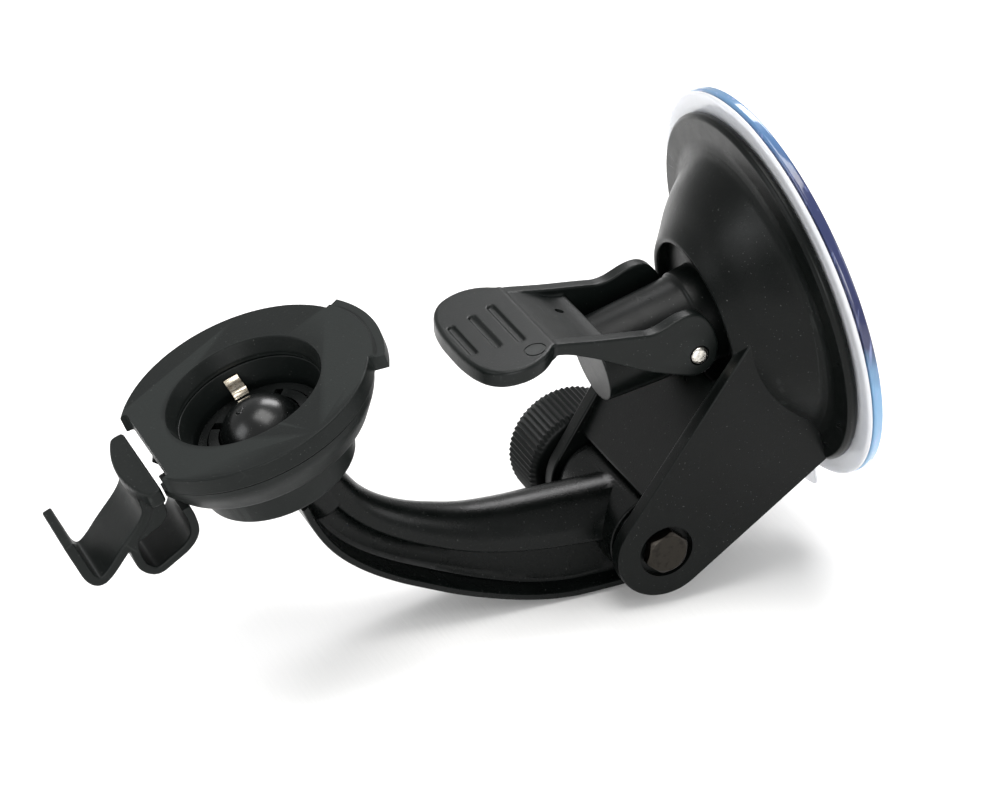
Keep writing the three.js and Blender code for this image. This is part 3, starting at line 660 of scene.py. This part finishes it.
def clamp_lever():
    ear_outline = rounded([(-24, 57.1, 0.4), (-21.5, 57.6), (-13.4, 56.5), (-5.2, 55.7), (-1.2, 55.2, 4),
                           (3.8, 57.6, 2), (6.8, 58.1, 2), (9.2, 57.0, 2), (11.3, 54.0, 3), (12.3, 50.2, 3),
                           (11.7, 46.4, 3), (8.0, 44.3, 3), (3.6, 45.6, 2), (-3, 47.8, 3), (-13.4, 52.8, 3),
                           (-19.5, 55.0, 2), (-24, 55.2, 0.4)], 2)
    lever = join(prism("ear", ear_outline, -EAR_OUT, -EAR_IN, across, 0.35),
                 prism("ear", ear_outline, EAR_IN, EAR_OUT, across, 0.35))
    rim = smooth_line([(-37.3, 0), (-37.2, 4.5), (-36.6, 9.0), (-35.4, 12.6), (-33.4, 15.1), (-30.8, 16.3),
                       (-28.0, 16.5), (-25.4, 15.7), (-23.6, 14.5), (-22.3, 13.3), (-21.4, EAR_OUT)], 4)
    hollow_rim = smooth_line([(-35.6, 0), (-35.4, 4.5), (-34.8, 8.4), (-33.6, 11.6), (-31.8, 13.8),
                              (-29.0, 14.7), (-26.4, 14.2), (-23.8, 12.4), (-22.4, 10.2)], 4)
    paddle = prism("paddle", both_sides(rim + [(-21.4, 9.0)]), -3.3, 0, tilted, 0.6, 4)
    paddle = cut(paddle, prism("hollow", both_sides(hollow_rim), -4.3, -1.7, tilted, 0))
    web = prism("web", rounded([(-24, 57.1, 0.3), (-20.8, 57.6, 3), (-16.4, 56.3, 3), (-12.4, 54.8, 2),
                                (-9.4, 54.8, 0.5), (-9.5, 53.8, 0.4), (-12.4, 53.4, 1), (-16, 54.0, 2),
                                (-24, 54.9, 0.3)], 1), -10.3, 10.3, across, 0)
    lever = join(lever, paddle, web)
    for x, half in ((-34.8, 5.2), (-30.3, 6.0), (-26.0, 7.0)):
        outline = arc(x, -half, 0.7, 180, 360, 10) + arc(x, half, 0.7, 0, 180, 10)
        lever = cut(lever, prism("groove", outline, -0.55, 2, tilted, 0))
    lever = mould(lever, 0.2, 5)
    gate = cut(prism("gate", circle(2.1, 48, -25.4, -12.0), -0.15, 1, tilted, 0),
               prism("core", circle(1.8, 48, -25.4, -12.0), -2, 2, tilted, 0))
    bore = cylinder_y("bore", PIN_R + GAP, -16, 16, FLANGE_X + PIN_ALONG * PULL.x,
                      FLANGE_Z + PIN_ALONG * PULL.z, 48)
    eye = prism("eye", circle(0.9, 32, -13.6, 3.2), 50, 60, upright, 0)
    lever = cut(lever, gate, bore, eye)
    return finish_piece(lever, "lever", "lever", "housing_plastic", LEVER_BLACK, "clamp_lever", sharp=50)


def lever_pin():
    profile = [(0, -13.4), (1.2, -13.4, 0.2), (PIN_R, -13.0, 0.3), (PIN_R, 13.0, 0.3), (1.2, 13.4, 0.2),
               (0, 13.4)]
    at = Place(Vector((1, 0, 0)), Vector((0, 0, -1)), Y_AXIS, pin_point)
    pin = turned("pin", soften(profile, 0.2), at, 64)
    return finish_piece(pin, "pin", "lever", "steel", STEEL, "lever_pin", sharp=60)


# ------------------------------------------------------------------ pivot hardware and knob
def pivot_bolt():
    flats = arc(0, PIVOT_Z, 4 / math.cos(math.radians(30)), 20, 320, 5)
    head = prism("head", flats, 16.2, 18.5, across, 0.15, 2)
    round_head = turned("crown", soften([(0, -18.5), (3.75, -18.5, 0.2), (4.5, -17.9, 0.2), (4.6, -15.5),
                                         (0, -15.5)], 0.1), knob_axis, 96)
    head = combine(head, "INTERSECT", round_head)
    shank = cylinder_y("shank", 2.5, -16.9, 29.0, 0, PIVOT_Z, 48, 0.2)
    return finish_piece(join(head, shank), "bolt", "base", "black_zinc", ZINC, "pivot_bolt", sharp=30)


def washers():
    for name, low, high in (("washer_near", -13.45, -12.25), ("washer_far", 12.25, 13.45)):
        section = rounded([(BOLT_HOLE_R, low), (8.6, low), (8.6, high), (BOLT_HOLE_R, high)], 0.15, 3)
        ring = turned(name, section, knob_axis, 96, closed=True)
        finish_piece(ring, name + "_ring", "base", "inner_plastic", INNER, name)


def clamp_knob():
    low, high, radius, ribs = 18.7, 31.2, 12.3, 64
    profile = [(0, low), (radius - 1.4, low, 0.6), (radius, low + 1.1, 0.6)]
    profile += [(radius, low + 1.4 + i, 0.1) for i in range(10)]
    profile += [(radius, high - 1.4, 0.7), (radius - 1.4, high, 0.7), (9.6, high, 0.2),
                (9.4, high - 0.3, 0.1), (9.4, high - 5, 0.3), (6.6, high - 5, 0.3),
                (6.6, high - 0.2, 0.1), (6.4, high, 0.2), (0, high)]

    def grip(angle, r, h):
        reach = max(0.0, min(1.0, (r - (radius - 1.2)) / 1.2))
        return -reach * 0.45 * (0.5 + 0.5 * math.cos(ribs * angle)) ** 0.8

    knob = turned("knob", soften(profile, 0.2), knob_axis, ribs * 10, wave=grip)
    bore = cylinder_y("bore", 2.8, low - 1, high - 1.6, 0, PIVOT_Z, 48)
    pocket = prism("pocket", arc(0, PIVOT_Z, 4.9, 0, 300, 5), -(low + 5.3), -(low - 1), across, 0)
    knob = cut(knob, bore, pocket)
    return finish_piece(knob, "knob", "knob", "housing_plastic", KNOB_BLACK, "clamp_knob", sharp=40)


def knob_nut():
    nut = prism("nut", arc(0, PIVOT_Z, 4.6, 0, 300, 5), -23.7, -18.9, across, 0.25)
    nut = cut(nut, cylinder_y("bore", 2.8, 17, 32, 0, PIVOT_Z, 48))
    return finish_piece(nut, "nut", "knob", "brass", BRASS, "knob_nut", sharp=30)


# ------------------------------------------------------------------ swing arm and ball
STATIONS = [(-64.6, 33.4, 4.2, 6.2, 6.6), (-62.0, 29.7, 4.2, 7.2, 7.5), (-58.6, 25.6, 4.2, 7.8, 8.0),
            (-54.2, 21.9, 4.4, 8.0, 8.3), (-48.6, 18.6, 4.8, 8.2, 8.5), (-42.4, 15.9, 5.4, 8.6, 8.5),
            (-35.6, 13.6, 6.1, 9.4, 8.5), (-28.6, 12.2, 6.8, 10.6, 8.5), (-21.6, 11.4, 7.4, 11.8, 8.5),
            (-14.6, 11.0, 7.8, 12.4, 8.5), (-7.5, 10.7, 8.1, 12.1, 8.5), (-2.0, 10.5, 8.4, 11.7, 8.5)]


def arm_section(crown, depth, flange):
    """Half section (y, n): round crown with a small lip, narrow web and bottom flange."""
    half = [(crown * math.cos(t), crown * math.sin(t)) for t in
            (math.radians(90 - 6 * i) for i in range(16))]
    web = max(crown - 3.4, 2.5)
    step = crown - web
    lower = [(crown, -0.55), (crown - 0.15, -0.95), (crown - 0.4, -1.2), (web + step * 0.65, -1.3),
             (web + step * 0.3, -1.55), (web + 0.3, -2.0), (web + 0.1, -2.7), (web, -depth * 0.45),
             (web, -depth * 0.64), (web + 0.1, -depth + 2.6), (web + 0.5, -depth + 2.0),
             (flange - 1.6, -depth + 1.65), (flange - 0.5, -depth + 1.5), (flange - 0.1, -depth + 1.25),
             (flange, -depth + 0.9), (flange, -depth + 0.45), (flange - 0.15, -depth + 0.15),
             (flange - 0.5, -depth)]
    half += lower
    return half + [(-y, n) for y, n in half[1:]][::-1]


def swing_arm():
    line = smooth_line(STATIONS, 8)
    verts, faces = [], []
    count = len(arm_section(7, 10, 8.5))
    for i, (x, z, crown, depth, flange) in enumerate(line):
        ax, az = line[max(i - 1, 0)][:2]
        bx, bz = line[min(i + 1, len(line) - 1)][:2]
        size = math.hypot(bx - ax, bz - az)
        tx, tz = (bx - ax) / size, (bz - az) / size
        for y, n in arm_section(crown, depth, flange):
            verts.append(upright(x - tz * n, y, z + tx * n))
    for i in range(len(line) - 1):
        for k in range(count):
            m = (k + 1) % count
            faces.append([i * count + k, i * count + m, (i + 1) * count + m, (i + 1) * count + k])
    faces.append(list(range(count)))
    faces.append([(len(line) - 1) * count + k for k in range(count)])
    arm = make_object("arm", verts, faces)
    barrel = turned("barrel", soften([(0, -11.9), (9.2, -11.9, 0.5), (9.2, 11.9, 0.5), (0, 11.9)], 0.5),
                    knob_axis, 144)
    tip = turned("tip", soften([(0, -19.4), (4.6, -19.4, 0.6), (4.9, -14.6, 1.2), (4.5, -13.1, 0.5),
                                (0, -13.1)], 0.5), ball_at, 96)
    arm = join(arm, barrel, tip)
    arm = cut(arm, cylinder_y("bore", BOLT_HOLE_R, -20, 20, 0, PIVOT_Z, 48),
              turned("spigot", [(0, -17.6), (2.8, -17.6), (2.8, -9.5), (0, -9.5)], ball_at, 64))
    return finish_piece(arm, "arm", "arm", "housing_plastic", ARM_BLACK, "swing_arm", sharp=36)


def ball_stud():
    ball = arc(0, 0, BALL_R, -59.5, 84.0, 48)
    profile = [(0, -17.3), (2.2, -17.3, 0.1), (2.5, -17.0, 0.1), (2.5, -12.8, 0.1), (4.3, -12.8, 0.2)]
    profile += [(r, h, 0.05) for r, h in ball]
    profile += [(0.85, BALL_R, 0.15), (0.7, 8.78, 0.15), (0, 8.8)]
    stud = turned("ball", soften(profile, 0.1, 2), ball_at, 128)
    return finish_piece(stud, "ball", "arm", "inner_plastic", INNER, "ball_stud", sharp=50)


# ------------------------------------------------------------------ ball socket
def sphere_arc(r, low, high, steps=12):
    a, b = math.asin(low / r), math.asin(high / r)
    return [(r * math.cos(a + (b - a) * i / steps), r * math.sin(a + (b - a) * i / steps))
            for i in range(steps + 1)]


def socket_liner():
    inner_r = 8.8
    liner = turned("liner", sphere_arc(inner_r + 1.8, -4.4, 3.4) + sphere_arc(inner_r, 3.4, -4.4), cradle_at,
                   128, closed=True)
    for degrees in (45, 135):
        t = math.radians(degrees)
        along, aside = (math.cos(t), math.sin(t)), (-math.sin(t), math.cos(t))
        outline = [(along[0] * u + aside[0] * v, along[1] * u + aside[1] * v)
                   for u, v in ((-20, -0.9), (20, -0.9), (20, 0.9), (-20, 0.9))]
        liner = cut(liner, prism("split", outline, -1.8, 8, cradle_at, 0))
    return finish_piece(liner, "liner", "ball_pitch", "inner_plastic", INNER, "socket_liner", sharp=40)


def socket_retainer():
    section = [(9.5, -6.0), (12.2, -6.0), (12.6, -5.6), (12.6, 2.6), (12.2, 3.0)]
    section += sphere_arc(10.9, 3.0, -5.35) + [(9.5, -5.6)]
    ring = turned("retainer", section, cradle_at, 128, closed=True)
    return finish_piece(ring, "retainer", "ball_roll", "inner_plastic", INNER, "socket_retainer", sharp=40)


# ------------------------------------------------------------------ cradle
FACE_R, FACE, UNDER = 24.4, 11.9, 8.3
HOLE_R, CHAMFER_R = 14.1, 15.2
LIP_R, LIP_HALF = 27.2, 26


def opening(x, low, high, radius):
    """Outline of a cut that runs from x out past the cradle's rim."""
    return rounded([(x, low), (-30, low), (-30, high), (x, high)], radius)


SCREWS = [(17.1 * math.cos(math.radians(d)), 17.1 * math.sin(math.radians(d))) for d in (45, 135, 225, 315)]


def cradle_housing():
    section = [(10.6, -7.4, 0.3), (14.5, -7.4, 0.4), (14.9, -7.0, 0.4), (16.3, 1.0, 0.4), (20.0, 1.0, 0.5),
               (20.5, 1.4, 0.4), (23.5, 6.0, 2.0), (23.9, 8.0, 0.1), (18.7, 8.0, 0.2), (18.7, 2.8, 0.3),
               (15.6, 2.8, 0.3), (15.6, 8.0, 0.2), (14.0, 8.0, 0.2), (12.9, 4.0, 0.3),
               (12.9, -6.3, 0.1), (10.6, -6.3, 0.1)]
    shell = turned("housing", rounded(section, 0.3, 4), cradle_at, 176, closed=True)
    for x, y in SCREWS:
        shell = cut(shell, prism("hole", circle(1.2, 32, x, y), 0, 4, cradle_at, 0),
                    prism("sink", circle(2.2, 40, x, y), 0, 1.7, cradle_at, 0))
    shell = cut(shell, prism("crescent_room", opening(-21.6, -12, 12, 0.3), 4.9, 20, cradle_at, 0),
                prism("way", opening(-17.3, -7.6, 7.6, 0.3), 0, 20, cradle_at, 0),
                prism("far_relief", opening(-18.6, 7, 17, 0.3), 2.8, 20, cradle_at, 0))
    return finish_piece(shell, "cradle_body", "cradle", "housing_plastic", FACE_BLACK, "cradle_housing",
                        sharp=34)


def cradle_plate():
    rim = arc(0, 0, FACE_R, LIP_HALF, 360 - LIP_HALF, 150)
    lip = arc(0, 0, LIP_R, -LIP_HALF, LIP_HALF, 50)
    outline = rounded_steps(rim + lip, FACE_R, LIP_R)
    plate = prism("plate", outline, UNDER, FACE, cradle_at, 0.4, 4)
    hole = turned("hole", soften([(0, UNDER - 1), (HOLE_R, UNDER - 1, 0.1), (HOLE_R, 9.0, 0.3),
                                  (CHAMFER_R, FACE - 0.02, 0.3), (CHAMFER_R + 0.5, FACE + 0.25, 0.2),
                                  (CHAMFER_R + 0.5, FACE + 1, 0.1), (0, FACE + 1)], 0.2), cradle_at, 176)
    step = turned("step", soften([(25.5, FACE - 0.55, 0.2), (40, FACE - 0.55, 0.2), (40, FACE + 1, 0.2),
                                  (25.1, FACE + 1, 0.2), (25.1, FACE - 0.1, 0.2)], 0.1), cradle_at, 176,
                  closed=True)
    plate = cut(plate, hole, step, prism("gap", opening(-19.9, -12, 12, 0.7), 0, 20, cradle_at, 0))
    for x, y in SCREWS:
        plate = cut(plate, prism("hole", circle(1.2, 32, x, y), UNDER - 1, 10.3, cradle_at, 0))
    bevel = plate.modifiers.new("edge", "BEVEL")
    bevel.width = 0.16 * MM
    bevel.segments = 2
    bevel.limit_method = "ANGLE"
    bevel.angle_limit = math.radians(50)
    bake_modifiers(plate)
    return finish_piece(plate, "cradle_face", "cradle", "housing_plastic", FACE_BLACK, "cradle_plate",
                        sharp=14)


def rounded_steps(outline, low, high):
    """Eases the two radial steps between the disc's rim and the lip."""
    out = []
    for i, point in enumerate(outline):
        after = outline[(i + 1) % len(outline)]
        out.append(point)
        ra, rb = math.hypot(*point), math.hypot(*after)
        if abs(ra - rb) > (high - low) * 0.5:
            for k in range(1, 8):
                t = k / 8
                ease = t * t * (3 - 2 * t)
                out.append((point[0] + (after[0] - point[0]) * t + (after[1] - point[1]) * 0.05 * (ease - t),
                            point[1] + (after[1] - point[1]) * t))
    return out


def cradle_screws():
    for i, (x, y) in enumerate(SCREWS):
        profile = [(0, 0.35), (1.5, 0.35, 0.3), (1.9, 0.7, 0.2), (1.9, 1.45, 0.1), (0.9, 1.45, 0.1)]
        profile += [(0.9 - 0.18 * (k % 2), 1.8 + 0.35 * k, 0.05) for k in range(22)]
        profile += [(0.3, 10.0, 0.1), (0, 10.0)]
        at = Place(TO_LIP, Y_AXIS, SPIN, cradle_at(x, y, 0))
        screw = turned("screw", soften(profile, 0.05, 2), at, 48)
        cross = [(-1.1, -0.25), (-0.25, -0.25), (-0.25, -1.1), (0.25, -1.1), (0.25, -0.25), (1.1, -0.25),
                 (1.1, 0.25), (0.25, 0.25), (0.25, 1.1), (-0.25, 1.1), (-0.25, 0.25), (-1.1, 0.25)]
        screw = cut(screw, prism("cross", cross, 0, 0.9, at, 0))
        finish_piece(screw, f"screw_{i + 1}", "cradle", "black_zinc", ZINC, f"cradle_screw_{i + 1}", sharp=35)


def contact_leaf():
    at = Place(Y_AXIS, SPIN, TO_LIP, cradle_at(0.3, 0, 0))
    line = [(12.6, 7.1), (11.4, 6.7), (9.4, 6.6), (8.3, 6.5), (7.8, 5.6)]
    leaf = prism("leaf", strip(line, 0.4, 8), -1.5, 1.5, at, 0.1, 2)
    return finish_piece(leaf, "leaf", "cradle", "nickel", NICKEL, "contact_leaf", sharp=50)


# ------------------------------------------------------------------ release latch
def release_latch():
    band = Place(TO_LIP, SPIN, -Y_AXIS, ball_point)
    wall = [(-25.4, 8.7), (-25.5, 6.5), (-25.9, 3.6), (-28.2, 1.2), (-33.0, -1.7), (-37.0, -4.2),
            (-39.2, -4.7), (-40.5, -3.0), (-40.9, 1.0), (-41.2, 5.6)]
    loop = [(-30.6, -0.6), (-31.2, -3.6), (-31.0, -6.8), (-29.0, -8.9), (-25.6, -8.4), (-22.0, -7.4),
            (-19.9, -5.6), (-19.3, -2.8), (-19.4, 0.1)]
    rib = rounded([(-25.4, 6.0), (-23.2, 5.0), (-22.4, 3.2), (-22.7, 0.6), (-24.6, -0.8), (-30.2, -1.8),
                   (-30.6, -0.6), (-28.2, 1.2), (-25.9, 3.6)], 0.4)
    latch = join(prism("wall", strip(wall, 1.9), -7, 7, band, 0.3),
                 prism("loop", strip(loop, 1.7), -7, 7, band, 0.3),
                 prism("rib", rib, -6.6, 6.6, band, 0.3))
    crescent = rounded([(-22.1, -11.3)] + arc(0, 0, LIP_R, 204.5, 155.5, 10) + [(-22.1, 11.3)], 1.0, 6)
    latch = join(latch, prism("crescent", crescent, 6.3, 9.4, cradle_at, 0.35))
    latch = mould(latch, 0.22, 4)
    return finish_piece(latch, "latch", "latch", "housing_plastic", FACE_BLACK, "release_latch", sharp=60)


# ------------------------------------------------------------------ floor, light and camera
def studio():
    n = Nodes("pale_floor")
    n.link(n.ramp(n.noise(3.0, 2.0), [(0.3, (0.86, 0.86, 0.855)), (0.7, (0.885, 0.885, 0.88))]),
           n.shader.inputs["Base Color"])
    n.shader.inputs["Roughness"].default_value = 0.75
    n.bump(n.noise(900.0, 2.0, 0.5, (1.0, 0.15, 1.0)), 0.25, 0.0002)
    floor = make_object("floor", [(-4, -4, 0), (4, -4, 0), (4, 4, 0), (-4, 4, 0)], [[0, 1, 2, 3]])
    floor.data.materials.append(n.material)
    bpy.context.scene.view_settings.view_transform = "Standard"
    world = bpy.data.worlds.new("studio")
    bpy.context.scene.world = world
    world.use_nodes = True
    background = world.node_tree.nodes["Background"]
    background.inputs["Color"].default_value = (1.0, 1.0, 1.0, 1)
    background.inputs["Strength"].default_value = 0.68
    for name, place, aim, size, power, tint in (
            ("key", (-0.12, -0.02, 1.30), (0.0, 0.05, 0.0), (0.85, 0.65), 11.5, (1.0, 0.99, 0.98)),
            ("back", (0.45, 0.80, 1.00), (0.0, 0.0, 0.05), (0.60, 0.45), 9.0, (1.0, 0.99, 1.0)),
            ("front", (-0.45, -1.25, 0.42), (0.0, 0.0, 0.02), (0.9, 0.5), 10.0, (1.0, 1.0, 1.0)),
            ("fill", (1.05, -0.70, 0.60), (0.0, 0.0, 0.05), (0.6, 0.6), 4.0, (1.0, 1.0, 1.0)),
            ("side", (-1.05, 0.10, 0.55), (0.0, 0.0, 0.05), (0.5, 0.5), 3.5, (0.97, 0.99, 1.0))):
        light = bpy.data.lights.new(name, "AREA")
        light.shape = "RECTANGLE"
        light.size, light.size_y = size
        light.energy = power
        light.color = tint
        lamp = bpy.data.objects.new(name, light)
        lamp.location = place
        lamp.rotation_euler = (Vector(aim) - Vector(place)).to_track_quat("-Z", "Y").to_euler()
        bpy.context.scene.collection.objects.link(lamp)


def camera():
    view = bpy.data.cameras.new("camera")
    view.sensor_width = 36.0
    view.lens = 120.1
    eye = bpy.data.objects.new("camera", view)
    place = Vector((-0.2105, -0.5045, 0.348))
    forward = Vector((0.351, 0.802, -0.483)).normalized()
    right = forward.cross(Vector((0, 0, 1))).normalized()
    up = right.cross(forward)
    turn = Matrix((right, up, -forward)).transposed().to_4x4()
    eye.matrix_world = Matrix.Translation(place) @ turn
    bpy.context.scene.collection.objects.link(eye)
    bpy.context.scene.camera = eye


base_housing()
suction_pad()
sealing_ring()
pull_stem()
release_spring()
clamp_lever()
lever_pin()
pivot_bolt()
washers()
clamp_knob()
knob_nut()
swing_arm()
ball_stud()
socket_liner()
socket_retainer()
cradle_housing()
cradle_plate()
cradle_screws()
contact_leaf()
release_latch()
studio()
camera()
